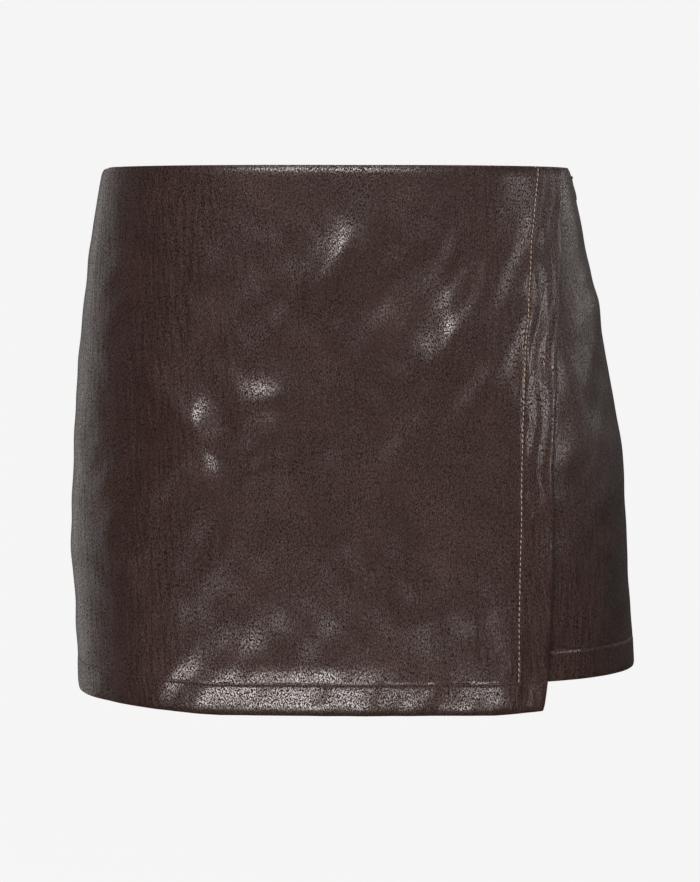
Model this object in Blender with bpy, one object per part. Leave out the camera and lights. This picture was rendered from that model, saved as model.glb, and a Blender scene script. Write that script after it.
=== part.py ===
# A short faux leather wrap skort, filled out as worn: shorts of four panels, a wrap panel over
# the front, and a concealed zip in the wearer's left side seam.
# Metres. +Z is up, -Y is the front and +X is the wearer's left. The origin is the middle of
# the waist's top edge.

import bmesh
import bpy
from collections import namedtuple
from math import acos, asin, cos, pi, sin, sqrt
from mathutils import Matrix, Vector

# Cloth
CLOTH = 0.0013              # faux leather with its backing
TURNED = 0.0022             # the same cloth turned under and pressed flat
SEAM_GAP = 0.0003           # between two sewn edges
LAYER = 0.0018              # from the shorts' face out to the wrap's face
QUARTER = pi / 2

# Shorts
LEG_HEM_Z = -0.3207
LEG_SIDE_RISE = 0.0033      # the leg hems are higher at the side seams
LEG_TURN_UP = 0.019
CROTCH_Z = -0.255
CROTCH_Y = 0.014            # the four panels meet a little behind the middle
FORK_Z = -0.170             # where the centre seams start to curve under
FORK_POWER = 2.7            # above 2 keeps the seat full for longer
LEG_MIDDLE = 0.085          # from the centre to the front of a leg
WAIST_FLAT = 0.028          # the same at the waist, where the front is almost flat
LEG_MIDDLE_Z = -0.215       # here the waist's flat has widened to the legs' spacing
INSEAM_SPREAD = 0.22        # how far the inseams part at the hems, as a slope
TUBE_DROP = 0.048           # this far below the crotch the saddle has become a round leg
ROUNDNESS = 2.2             # exponent of the sections' rounded corners
SEAM_TURN = {1: 0.075, -1: -0.030}   # side seams behind or before the widest point
RIGHT_INSET = 0.0014        # the shorts are narrower on the wearer's right, inside the wrap
TUCK = 0.00165              # the right front panel lies this far in, under the wrap
TUCK_Z = -0.295             # all of its hem does, from here down
TUCK_DROP = 0.015
TUCK_TURN = (1.1, 1.5)      # but not its inner leg, in quarter turns

# Wrap panel
WRAP_TOP_Z = -0.001         # the shorts' edge peeps out above it
WRAP_HEM_Z = -0.3403
WRAP_SIDE_RISE = 0.0106     # the hem is higher at the side seam
WRAP_CORNER_RISE = 0.0130   # and towards the free corner, for the same turn
WRAP_TURN_UP = 0.020
WRAP_STAND_OFF = 0.0033     # further off the legs at the hem
WRAP_CROWN = 0.006          # the middle stands out over the gap between the legs
FACING_LIFT = 0.0010        # the thicker edge stands off the shorts
FACING_LIFT_FROM = 0.030    # x where that lift starts
FACING_LIFT_OVER = 0.070    # it has risen over this width
SEAM_DIP = 0.0008           # the wrap's edge dips into the side seam
SEAM_REACH = 0.22           # and comes out again over this share of a quarter turn
FOLDS_FROM = 0.06           # this far below the waist the folds have their full height

# Rows and columns of the grids
WAIST_ROWS = 8
FORK_ROWS = 7
LEG_ROWS = 5
OUTER_COLUMNS = 11          # from a side seam to the middle of a leg
INNER_COLUMNS = 7           # from there to the centre seam or the inseam
SEAM_COLUMN = 0.055         # the first column beside a side seam, in quarter turns
WRAP_ROWS = 17
WRAP_LEFT_COLUMNS = 7       # from the middle of the left leg to the facing
FACING_COLUMNS = 2
STEP = 0.0005               # width of the step at a turned edge
STEP_TURN = 0.0033          # the same across the facing, in quarter turns
ROW_SPACE = 0.004           # rows nearer than this to a set row are left out

# Concealed zip. Its sizes run across the seam (b), up along it (t) and out of the cloth (n).
ZIP_TOP_Z = -0.0095
ZIP_END_Z = -0.185
TAPE = 0.0006
SLIDER_Z = -0.00625
SLIDER_HALF_B = 0.0015
SLIDER_HALF_T = 0.0030
SLIDER_IN = 0.0026
SLIDER_OUT = 0.0003
NOTCH_HALF_B = 0.00195      # half the opening that the slider stands in
NOTCH_ROWS = (-0.0015, -0.0030, ZIP_TOP_Z, -0.0125)
EAR_IN_B = 0.0009
EAR_HALF_T = 0.0010
EAR_TOP = 0.0023
PIN_RADIUS = 0.00035
PIN_HALF_B = 0.0014
PIN_N = 0.0017
EYE_RADIUS = 0.0011
EYE_HOLE = 0.00055
EYE_HALF_B = 0.0005
NECK_HALF_B = 0.00045
NECK_TOP = 0.0007           # below the pin's axis, inside the eye
DROP_TOP = 0.0025
DROP_END = 0.0150
DROP_HALF_B = 0.0024
DROP_HALF_N = 0.0004
DROP_STEPS = 12

# Sections across the garment. half_width and lean place its two sides, front and back are the
# depths from the widest point, and edge_x and stitch_x are the wrap's free edge and the line
# of stitches that holds its facing.
Section = namedtuple("Section", "z half_width lean front back edge_x stitch_x")
SECTIONS = (
    Section(0.000, 0.1498, 0.0000, 0.0930, 0.1030, 0.1442, 0.1274),
    Section(-0.027, 0.1551, 0.0007, 0.0966, 0.1085, 0.1435, 0.1242),
    Section(-0.060, 0.1608, 0.0016, 0.1007, 0.1150, 0.1422, 0.1216),
    Section(-0.087, 0.1651, 0.0031, 0.1038, 0.1198, 0.1409, 0.1201),
    Section(-0.114, 0.1690, 0.0040, 0.1067, 0.1242, 0.1395, 0.1180),
    Section(-0.146, 0.1727, 0.0053, 0.1096, 0.1287, 0.1383, 0.1167),
    Section(-0.182, 0.1759, 0.0072, 0.1123, 0.1322, 0.1363, 0.1155),
    Section(-0.213, 0.1775, 0.0081, 0.1140, 0.1333, 0.1358, 0.1148),
    Section(-0.241, 0.1782, 0.0092, 0.1148, 0.1312, 0.1358, 0.1142),
    Section(-0.275, 0.1782, 0.0111, 0.1143, 0.1238, 0.1349, 0.1134),
    Section(-0.305, 0.1783, 0.0126, 0.1130, 0.1140, 0.1329, 0.1133),
    Section(-0.342, 0.1786, 0.0142, 0.1112, 0.1030, 0.1303, 0.1135),
)

# The wrap's largest soft folds: middle, half length, half width, height (a trough's is below
# zero) and the slope of the fold's line, up towards the wearer's left, in quarter turns.
Fold = namedtuple("Fold", "x z half_length half_width height slope")
FOLDS = (
    Fold(-0.030, -0.117, 0.045, 0.013, -0.0014, 0.00),
    Fold(-0.028, -0.142, 0.050, 0.014, 0.0010, -0.06),
    Fold(0.066, -0.108, 0.050, 0.013, 0.0014, 0.62),
    Fold(0.033, -0.172, 0.065, 0.015, 0.0015, 0.60),
    Fold(-0.012, -0.178, 0.040, 0.013, -0.0013, 0.45),
    Fold(-0.082, -0.150, 0.035, 0.012, 0.0012, -0.68),
    Fold(-0.052, -0.273, 0.038, 0.014, 0.0013, 0.52),
    Fold(0.098, -0.273, 0.040, 0.013, -0.0013, 0.45),
    Fold(0.050, -0.262, 0.050, 0.015, -0.0012, 0.50),
    Fold(-0.120, -0.225, 0.060, 0.018, -0.0014, 0.85),
)


def smooth(share):
    """0 up to 0, 1 from 1 on, and an even curve between them."""
    share = min(max(share, 0.0), 1.0)
    return share * share * (3 - 2 * share)


def read(column, z):
    """A column of SECTIONS at height z, on a smooth curve through its rows."""
    last = len(SECTIONS) - 1
    z = min(max(z, SECTIONS[last].z), SECTIONS[0].z)
    i = next(k for k in range(last) if z >= SECTIONS[k + 1].z)
    near = [SECTIONS[min(max(k, 0), last)] for k in (i - 1, i, i + 1, i + 2)]
    z0, z1, z2, z3 = (row.z for row in near)
    v0, v1, v2, v3 = (getattr(row, column) for row in near)
    t = (z - z1) / (z2 - z1)
    slope_1 = (v2 - v0) / (z2 - z0) * (z2 - z1)
    slope_2 = (v3 - v1) / (z3 - z1) * (z2 - z1)
    start = (2 * t**3 - 3 * t**2 + 1) * v1 + (t**3 - 2 * t**2 + t) * slope_1
    return start + (3 * t**2 - 2 * t**3) * v2 + (t**3 - t**2) * slope_2


# The shorts' shape


def leg_middle(z):
    """From the centre to the front of a leg."""
    return WAIST_FLAT + (LEG_MIDDLE - WAIST_FLAT) * smooth(z / LEG_MIDDLE_Z)


def half_width(z, side):
    return read("half_width", z) - (RIGHT_INSET if side < 0 else 0)


def inner_arc(s, z, face, depth):
    """x and y between a leg's middle (s 0) and the centre seam or the inseam (s 1). Above the
    crotch the arc runs on to the other side, and below it round the inside of a leg."""
    middle = leg_middle(z)
    reach = depth - face * CROTCH_Y
    if z >= CROTCH_Z:
        drop = min(max((FORK_Z - z) / (FORK_Z - CROTCH_Z), 0), 1)
        left = 1 - drop**FORK_POWER
        across = sin((1 - s) * QUARTER)
        share = sqrt(left + (1 - left) * across**2)
        return middle * (1 - s), CROTCH_Y + face * reach * share
    down = (CROTCH_Z - z) / (CROTCH_Z - LEG_HEM_Z)
    spread = INSEAM_SPREAD * sqrt(1 - max(1 - down, 0) ** 2)
    share = cos(s * QUARTER)
    saddle = middle / QUARTER * asin(sqrt((share**2 + spread**2) / (1 + spread**2)))
    inseam = middle / QUARTER * asin(spread / sqrt(1 + spread**2))
    tube = middle - (middle - inseam) * sin(s * QUARTER)
    x = saddle + (tube - saddle) * smooth((CROTCH_Z - z) / TUBE_DROP)
    return x, CROTCH_Y + face * reach * share


def body_point(u, z, side, out=0.0):
    """A point of the shorts. u is 0 at the widest point, 1 at a leg's middle and 2 at the
    centre, below zero in front. side is 1 on the wearer's left, and out widens the section."""
    face = -1 if u < 0 else 1
    depth = read("front" if face < 0 else "back", z) + out
    if abs(u) <= 1:
        turn = abs(u) * QUARTER
        middle = leg_middle(z)
        x = middle + (half_width(z, side) + out - middle) * cos(turn) ** (2 / ROUNDNESS)
        y = face * depth * sin(turn) ** (2 / ROUNDNESS)
    else:
        x, y = inner_arc(abs(u) - 1, z, face, depth)
    return Vector((side * x + read("lean", z), y, z))


def leg_rise(u, z):
    """The leg hems rise towards the side seams, and the rows above them with them."""
    down = smooth((CROTCH_Z - z) / (CROTCH_Z - LEG_HEM_Z))
    return LEG_SIDE_RISE * max(1 - abs(u), 0) ** 0.8 * down


def seam_nearness(u):
    """1 at the wearer's right side seam, 0 from SEAM_REACH on."""
    return 1 - smooth((SEAM_TURN[-1] - u) / SEAM_REACH)


def tuck(u, z):
    """How far the right front panel lies in under the wrap: at its side seam and at its hem."""
    start, end = TUCK_TURN
    near_hem = smooth((TUCK_Z - z) / TUCK_DROP) * smooth((end + u) / (end - start))
    return TUCK * max(seam_nearness(u), near_hem)


# The wrap's shape


def wrap_point(u, z, side):
    """A point of the wrap, over the shorts' front and across the gap between the legs."""
    down = smooth(z / WRAP_HEM_Z)
    stand_off = WRAP_STAND_OFF * down
    if abs(u) <= 1:
        point = body_point(u, z, side, LAYER)
        if u < 0:
            point.y -= stand_off * sin(-u * QUARTER)
        return point
    s = abs(u) - 1
    y = -read("front", z) - LAYER - stand_off - WRAP_CROWN * down * sin(s * QUARTER) ** 2
    return Vector((side * leg_middle(z) * (1 - s) + read("lean", z), y, z))


def turn_at(x, z):
    """The u where the wrap's left half has this x."""
    middle = leg_middle(z)
    share = (x - read("lean", z) - middle) / (half_width(z, 1) + LAYER - middle)
    return -acos(min(share, 1) ** (ROUNDNESS / 2)) / QUARTER


def wrap_rise(u, z, side):
    """The wrap's hem rises to its side seam and its free corner, and its rows with it."""
    rise = WRAP_SIDE_RISE if side < 0 else WRAP_CORNER_RISE
    return rise * max(1 - abs(u), 0) * (z - WRAP_TOP_Z) / (WRAP_HEM_Z - WRAP_TOP_Z)


def fold_height(x, z):
    """How far the soft folds move the wrap's cloth out at a point."""
    height = 0
    for fold in FOLDS:
        turn = fold.slope * QUARTER
        along = ((x - fold.x) * cos(turn) + (z - fold.z) * sin(turn)) / fold.half_length
        across = ((z - fold.z) * cos(turn) - (x - fold.x) * sin(turn)) / fold.half_width
        height += fold.height / (1 + along**4) / (1 + across**2) ** 2
    return height * smooth(-z / FOLDS_FROM)


# Materials and meshes


def material(name, colour, roughness, metallic=0.0):
    made = bpy.data.materials.new(name)
    made.use_nodes = True
    shader = made.node_tree.nodes["Principled BSDF"]
    shader.inputs["Base Color"].default_value = (*colour, 1)
    shader.inputs["Roughness"].default_value = roughness
    shader.inputs["Metallic"].default_value = metallic
    return made


def leather(name):
    return material(f"{name} leather", (0.048, 0.027, 0.022), 0.42)


def enamel(name):
    return material(f"{name} enamel", (0.045, 0.030, 0.027), 0.35, 0.6)


def finish(name, mesh_data, made=None):
    """One object from a bmesh, smooth but for its edges."""
    mesh = bpy.data.meshes.new(name)
    mesh_data.to_mesh(mesh)
    mesh_data.free()
    if made:
        mesh.materials.append(made)
    mesh.shade_smooth()
    mesh.set_sharp_from_angle(angle=pi / 5)
    piece = bpy.data.objects.new(name, mesh)
    bpy.context.collection.objects.link(piece)
    return piece


def grid_normals(grid, side):
    """Outward normals from each point's neighbours."""
    last_row, last_column = len(grid) - 1, len(grid[0]) - 1
    normals = []
    for r in range(last_row + 1):
        line = []
        for c in range(last_column + 1):
            across = grid[r][min(c + 1, last_column)] - grid[r][max(c - 1, 0)]
            down = grid[min(r + 1, last_row)][c] - grid[max(r - 1, 0)][c]
            line.append(down.cross(across).normalized() * side)
        normals.append(line)
    return normals


def wall(name, face, normals, thickness, made):
    """A cloth wall: the points of its face, and the same points moved in by its thickness."""
    mesh_data = bmesh.new()
    outer = [[mesh_data.verts.new(p) for p in line] for line in face]
    inner = [
        [mesh_data.verts.new(p - n * t) for p, n, t in zip(*lines)]
        for lines in zip(face, normals, thickness)
    ]
    last_row, last_column = len(outer) - 1, len(outer[0]) - 1
    for layer in (outer, inner):
        for r in range(last_row):
            for c in range(last_column):
                corners = (layer[r][c], layer[r][c + 1], layer[r + 1][c + 1], layer[r + 1][c])
                mesh_data.faces.new(corners)
    rim = [(0, c) for c in range(last_column)]
    rim += [(r, last_column) for r in range(last_row)]
    rim += [(last_row, c) for c in range(last_column, 0, -1)]
    rim += [(r, 0) for r in range(last_row, 0, -1)]
    for (r, c), (r2, c2) in zip(rim, rim[1:] + rim[:1]):
        mesh_data.faces.new((outer[r][c], outer[r2][c2], inner[r2][c2], inner[r][c]))
    bmesh.ops.recalc_face_normals(mesh_data, faces=mesh_data.faces)
    return finish(name, mesh_data, made)


# Shorts


def shorts_rows(side):
    """Heights of the rows, closer where the centre seams curve under and at the zip's top."""
    notch = [0.0, *NOTCH_ROWS] if side > 0 else [0.0]
    waist = [FORK_Z * k / WAIST_ROWS for k in range(1, WAIST_ROWS)]
    waist = notch + [z for z in waist if z < notch[-1] - ROW_SPACE]
    fork_drop, leg_drop = FORK_Z - CROTCH_Z, CROTCH_Z - LEG_HEM_Z
    fork = [FORK_Z - fork_drop * sin(k * QUARTER / FORK_ROWS) for k in range(FORK_ROWS + 1)]
    turns = [k * QUARTER / LEG_ROWS for k in range(1, LEG_ROWS + 1)]
    leg = [CROTCH_Z - leg_drop * (1 - cos(turn)) for turn in turns]
    band = LEG_HEM_Z + LEG_TURN_UP
    leg = [z for z in leg if abs(z - band) > ROW_SPACE] + [band, band + STEP]
    return sorted(waist + fork + leg, reverse=True)


def outer_columns(side, towards):
    """From a side seam to the middle of the leg, in front (-1) or behind (1)."""
    near = SEAM_TURN[side] + towards * SEAM_COLUMN
    steps = OUTER_COLUMNS - 1
    return [SEAM_TURN[side]] + [near + (towards - near) * k / steps for k in range(steps + 1)]


def shorts_columns(side):
    """All the columns of one side from the centre front, and the side seam's place in them."""
    front = [-2 + k / INNER_COLUMNS for k in range(INNER_COLUMNS)]
    front += outer_columns(side, -1)[:0:-1]
    back = outer_columns(side, 1)
    back += [1 + k / INNER_COLUMNS for k in range(1, INNER_COLUMNS + 1)]
    return front + back, len(front)


def shorts_grid(side):
    """Points and outward normals of one side's shorts, from the centre front to the back.
    The normals at the centre seam and the inseam lie in the seam's own plane."""
    heights = shorts_rows(side)
    columns, _ = shorts_columns(side)
    grid = [[body_point(u, z, side) for u in columns] for z in heights]
    for line, z in zip(grid, heights):
        for u, point in zip(columns, line):
            point.z += leg_rise(u, z)
    normals = grid_normals(grid, side)
    for r, z in enumerate(heights):
        for c, way in ((0, 1), (len(columns) - 1, -1)):
            down = grid[min(r + 1, len(grid) - 1)][c] - grid[max(r - 1, 0)][c]
            if abs(z - CROTCH_Z) < STEP:
                normals[r][c] = Vector((0, 0, -1))
            elif z > CROTCH_Z:
                normals[r][c] = down.cross(Vector((way, 0, 0))).normalized()
            else:
                normals[r][c] = down.cross(Vector((0, -side, 0))).normalized()
    return heights, grid, normals


def part_at_seams(point, z, side, towards, at_side, at_centre):
    """Moves a point of a panel's edge half a seam's gap away from the neighbour's."""
    if at_side:
        at_slider = side > 0 and ZIP_TOP_Z - STEP < z < NOTCH_ROWS[1] + STEP
        point.y += towards * (NOTCH_HALF_B if at_slider else SEAM_GAP / 2)
    if at_centre and z > CROTCH_Z - STEP:
        point.x += side * SEAM_GAP / 2
    if at_centre and z < CROTCH_Z + STEP:
        point.y += towards * SEAM_GAP / 2


def shorts_panels(side):
    """The front and back panel of one side."""
    name = "left" if side > 0 else "right"
    heights, grid, normals = shorts_grid(side)
    columns, seam = shorts_columns(side)
    last = len(columns) - 1
    band = LEG_HEM_Z + LEG_TURN_UP + STEP / 2
    for panel, towards, span in (
        ("front", -1, range(seam + 1)),
        ("back", 1, range(seam, last + 1)),
    ):
        face = []
        for r, z in enumerate(heights):
            line = []
            for c in span:
                point = grid[r][c].copy()
                part_at_seams(point, z, side, towards, c == seam, c in (0, last))
                if side < 0 and panel == "front":
                    point -= normals[r][c] * tuck(columns[c], z)
                line.append(point)
            face.append(line)
        out = [[line[c] for c in span] for line in normals]
        thickness = [[TURNED if z < band else CLOTH for _ in span] for z in heights]
        piece = f"shorts_{panel}_{name}"
        wall(piece, face, out, thickness, leather(piece))


# Wrap


def wrap_rows():
    """(height, in the turned hem) of the wrap's rows, before the hem's rise."""
    band = WRAP_HEM_Z + WRAP_TURN_UP
    drop = band + STEP - WRAP_TOP_Z
    rows = [(WRAP_TOP_Z + drop * k / (WRAP_ROWS - 1), False) for k in range(WRAP_ROWS)]
    return rows + [(z, True) for z in (band, (band + WRAP_HEM_Z) / 2, WRAP_HEM_Z)]


def wrap_columns(z):
    """(u, side, in the facing) of the wrap's columns at one height. The first one lies past
    the side seam and only turns the normals there."""
    edge = turn_at(read("edge_x", z), z)
    stitch = turn_at(read("stitch_x", z), z)
    right = [SEAM_TURN[-1] + SEAM_COLUMN] + outer_columns(-1, -1)[:-1]
    right += [-1 - k / INNER_COLUMNS for k in range(INNER_COLUMNS)]
    left = [-2 + k / INNER_COLUMNS for k in range(INNER_COLUMNS)]
    left += [-1 + (1 + stitch) * k / WRAP_LEFT_COLUMNS for k in range(WRAP_LEFT_COLUMNS)]
    left += [stitch - STEP_TURN]
    facing = [stitch + (edge - stitch) * k / FACING_COLUMNS for k in range(FACING_COLUMNS + 1)]
    columns = [(u, -1, False) for u in right] + [(u, 1, False) for u in left]
    return columns + [(u, 1, True) for u in facing]


def wrap_front():
    """The wrap panel, with its folds, its lifted facing and its edge in the side seam."""
    grid, thickness = [], []
    for z, in_hem in wrap_rows():
        columns = wrap_columns(z)
        grid.append([wrap_point(u, z + wrap_rise(u, z, side), side) for u, side, _ in columns])
        thickness.append([TURNED if in_hem or in_facing else CLOTH for _, _, in_facing in columns[1:]])
    normals = grid_normals(grid, 1)
    face = []
    for r, (z, _) in enumerate(wrap_rows()):
        line = []
        for c, (u, side, _) in enumerate(wrap_columns(z)):
            point = grid[r][c]
            lift = FACING_LIFT * smooth((point.x - FACING_LIFT_FROM) / FACING_LIFT_OVER)
            lift += fold_height(point.x, point.z)
            if side < 0:
                lift -= (LAYER - SEAM_DIP) * seam_nearness(u)
            line.append(point + normals[r][c] * lift)
        line[1].y -= SEAM_GAP / 2
        face.append(line[1:])
    wall("wrap_front", face, [line[1:] for line in normals], thickness, leather("wrap_front"))


# Zip


def zip_tape():
    """A strip behind the seam, made from the panels' own points moved in."""
    heights, grid, normals = shorts_grid(1)
    seam = shorts_columns(1)[1]
    rows = [r for r, z in enumerate(heights) if ZIP_END_Z < z < ZIP_TOP_Z + STEP]
    near = range(seam - 1, seam + 2)
    out = [[normals[r][c] for c in near] for r in rows]
    face = [[grid[r][c] - normals[r][c] * (CLOTH + SEAM_GAP) for c in near] for r in rows]
    thickness = [[TAPE] * len(near) for _ in rows]
    weave = material("zip_tape weave", (0.030, 0.018, 0.015), 0.85)
    wall("zip_tape", face, out, thickness, weave)


def seam_frame(z):
    """A place on the left side seam, with its axes across it, up along it and out of it."""
    seam, step = SEAM_TURN[1], 0.002
    up = body_point(seam, z + step, 1) - body_point(seam, z - step, 1)
    back = body_point(seam + step, z, 1) - body_point(seam - step, z, 1)
    out = back.cross(up).normalized()
    across = up.cross(out).normalized()
    turned = Matrix((across, up.normalized(), out)).transposed().to_4x4()
    return Matrix.Translation(body_point(seam, z, 1)) @ turned


def block(low, high):
    mesh_data = bmesh.new()
    middle = Matrix.Translation((Vector(low) + Vector(high)) / 2)
    size = Matrix.Diagonal((*(Vector(high) - Vector(low)), 1))
    bmesh.ops.create_cube(mesh_data, size=1, matrix=middle @ size)
    return mesh_data


def rod(radius, half_length, segments):
    """A cylinder across the seam."""
    mesh_data = bmesh.new()
    bmesh.ops.create_cone(
        mesh_data, cap_ends=True, segments=segments, radius1=radius, radius2=radius,
        depth=2 * half_length, matrix=Matrix.Rotation(QUARTER, 4, "Y"),
    )
    return mesh_data


def drop():
    """The pull's blade: narrow at the neck, widest low down and round at its end."""
    mesh_data = bmesh.new()
    half = [(NECK_HALF_B, -NECK_TOP)]
    for k in range(DROP_STEPS + 1):
        share = (1 - cos(k * pi / DROP_STEPS)) / 2
        half_b = DROP_HALF_B * sin(pi * share**1.6) ** 0.8 if 0 < k < DROP_STEPS else 0
        half.append((max(half_b, NECK_HALF_B), -DROP_TOP - (DROP_END - DROP_TOP) * share))
    outline = half + [(-b, t) for b, t in reversed(half)]
    sheet = mesh_data.faces.new([mesh_data.verts.new((b, t, -DROP_HALF_N)) for b, t in outline])
    for moved in bmesh.ops.extrude_face_region(mesh_data, geom=[sheet])["geom"]:
        if isinstance(moved, bmesh.types.BMVert):
            moved.co.z = DROP_HALF_N
    bmesh.ops.recalc_face_normals(mesh_data, faces=mesh_data.faces)
    return mesh_data


def combine(piece, operation, name, mesh_data):
    """Joins a helper shape to a piece, or cuts it out."""
    helper = finish(name, mesh_data)
    helper.matrix_world = piece.matrix_world
    helper.hide_render = True
    helper.display_type = "WIRE"
    modifier = piece.modifiers.new(name, "BOOLEAN")
    modifier.operation = operation
    modifier.object = helper
    return helper


def zip_slider():
    """A body in the seam with two ears and the pin that the pull hangs on."""
    low = (-SLIDER_HALF_B, -SLIDER_HALF_T, -SLIDER_IN)
    body = block(low, (SLIDER_HALF_B, SLIDER_HALF_T, SLIDER_OUT))
    slider = finish("zip_slider", body, enamel("zip_slider"))
    slider.matrix_world = seam_frame(SLIDER_Z)
    for name, start, end in (
        ("front ear", -SLIDER_HALF_B, -EAR_IN_B),
        ("back ear", EAR_IN_B, SLIDER_HALF_B),
    ):
        ear = block((start, -EAR_HALF_T, -SLIDER_OUT), (end, EAR_HALF_T, EAR_TOP))
        combine(slider, "UNION", name, ear)
    axle = combine(slider, "UNION", "axle", rod(PIN_RADIUS, PIN_HALF_B, 12))
    axle.matrix_world = slider.matrix_world @ Matrix.Translation((0, 0, PIN_N))


def zip_pull():
    """The pull hangs on the slider's pin, with its origin on that pin's axis."""
    pull = finish("zip_pull", rod(EYE_RADIUS, EYE_HALF_B, 20), enamel("zip_pull"))
    pull.matrix_world = seam_frame(SLIDER_Z) @ Matrix.Translation((0, 0, PIN_N))
    combine(pull, "UNION", "drop", drop())
    combine(pull, "DIFFERENCE", "eye hole", rod(EYE_HOLE, EYE_RADIUS, 16))


def main():
    for old in list(bpy.data.objects):
        bpy.data.objects.remove(old, do_unlink=True)
    wrap_front()
    for side in (1, -1):
        shorts_panels(side)
    zip_tape()
    zip_slider()
    zip_pull()


main()
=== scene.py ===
import bpy
import numpy as np
from math import cos, pi, radians, sin
from mathutils import Matrix, Vector


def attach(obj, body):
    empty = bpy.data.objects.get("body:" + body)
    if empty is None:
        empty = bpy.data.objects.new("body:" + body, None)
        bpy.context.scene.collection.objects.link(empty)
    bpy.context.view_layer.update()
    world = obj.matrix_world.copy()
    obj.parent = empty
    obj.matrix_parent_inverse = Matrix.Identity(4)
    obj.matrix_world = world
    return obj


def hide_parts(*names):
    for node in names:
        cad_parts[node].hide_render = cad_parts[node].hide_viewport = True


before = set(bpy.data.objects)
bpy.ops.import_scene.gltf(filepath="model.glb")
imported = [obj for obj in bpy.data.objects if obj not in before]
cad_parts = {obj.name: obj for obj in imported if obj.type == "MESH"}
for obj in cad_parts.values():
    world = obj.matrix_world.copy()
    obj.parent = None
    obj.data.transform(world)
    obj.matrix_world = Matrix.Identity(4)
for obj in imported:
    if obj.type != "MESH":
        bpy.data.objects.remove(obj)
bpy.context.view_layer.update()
quarter = pi / 2
mm = 0.001

# the garment's shape, in metres, as its solids have it
cloth = {"thick": 0.0013, "turned": 0.0022, "seamGap": 0.00002, "layer": 0.0018}
unitWide = {"outer": 0.165, "inner": 0.085}   # roughly one unit of u, round the side and on to the centre

shorts = {
    "hemZ": -0.3207, "sideRise": 0.0033, "turnUp": 0.019,
    "crotchZ": -0.255, "crotchY": 0.014,
    "forkZ": -0.170, "forkPower": 2.7,          # where and how the centre seams curve under
    "legMiddle": 0.085, "waistFlat": 0.028, "legMiddleZ": -0.215,
    "inseamSpread": 0.22, "tubeDrop": 0.048,
    "roundness": 2.2,                           # of the sections' corners
    "seamTurn": {1: 0.075, -1: -0.030},         # side seams, in quarter turns
    "rightInset": 0.0014,
    "tuck": 0.00165, "tuckZ": -0.295, "tuckDrop": 0.015, "tuckTurn": (1.1, 1.5),
    "notch": 0.0018, "notchZ": (-0.0030, -0.0095),   # the gap that the zip's slider stands in
    "notchHalf": 6 * mm, "notchEase": 1 * mm,
}

wrap = {
    "topZ": -0.001, "hemZ": -0.3403, "sideRise": 0.0106, "cornerRise": 0.0130, "turnUp": 0.020,
    "standOff": 0.0033, "crown": 0.006,
    "facingLift": 0.0010, "liftFrom": 0.030, "liftOver": 0.070,
    "seamDip": 0.0008, "seamReach": 0.22,
}

sectionNames = "z halfWidth lean front back edgeX stitchX".split()
sections = np.array([
    (0.000, 0.1498, 0.0000, 0.0930, 0.1030, 0.1442, 0.1274),
    (-0.027, 0.1551, 0.0007, 0.0966, 0.1085, 0.1435, 0.1242),
    (-0.060, 0.1608, 0.0016, 0.1007, 0.1150, 0.1422, 0.1216),
    (-0.087, 0.1651, 0.0031, 0.1038, 0.1198, 0.1409, 0.1201),
    (-0.114, 0.1690, 0.0040, 0.1067, 0.1242, 0.1395, 0.1180),
    (-0.146, 0.1727, 0.0053, 0.1096, 0.1287, 0.1383, 0.1167),
    (-0.182, 0.1759, 0.0072, 0.1123, 0.1322, 0.1363, 0.1155),
    (-0.213, 0.1775, 0.0081, 0.1140, 0.1333, 0.1358, 0.1148),
    (-0.241, 0.1782, 0.0092, 0.1148, 0.1312, 0.1358, 0.1142),
    (-0.275, 0.1782, 0.0111, 0.1143, 0.1238, 0.1349, 0.1134),
    (-0.305, 0.1783, 0.0126, 0.1130, 0.1140, 0.1329, 0.1133),
    (-0.342, 0.1786, 0.0142, 0.1112, 0.1030, 0.1303, 0.1135),
])

# each fold has x, z, half length, half width, height outwards and slope in quarter turns
largeFolds = np.array([
    (-0.002, -0.0640, 0.022, 0.017, 0.0042, 0.55),              # belly, with the brightest glints
    (0.017, -0.0740, 0.012, 0.008, 0.0009, 0.64),
    (-0.002, -0.0960, 0.018, 0.011, 0.0014, 1.10),
    (0.0650, -0.1160, 0.027, 0.018, 0.0049, 0.56),             # long one over the left thigh
    (0.0440, -0.1720, 0.040, 0.012, 0.0021, 0.60),
    (-0.0460, -0.1480, 0.017, 0.020, 0.0048, 0.14),
    (-0.0840, -0.1670, 0.018, 0.015, 0.0064, -0.58),
    (-0.0430, -0.1870, 0.016, 0.010, 0.0017, 0.25),
    (-0.0350, -0.1020, 0.034, 0.014, 0.0006, 0.08),            # its lower side is the dark crease
    (0.0370, -0.0720, 0.028, 0.011, -0.0013, 0.45),
    (-0.0120, -0.1820, 0.036, 0.012, -0.0015, 0.55),
    (0.0800, -0.1560, 0.034, 0.010, 0.0016, 0.62),
])
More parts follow.
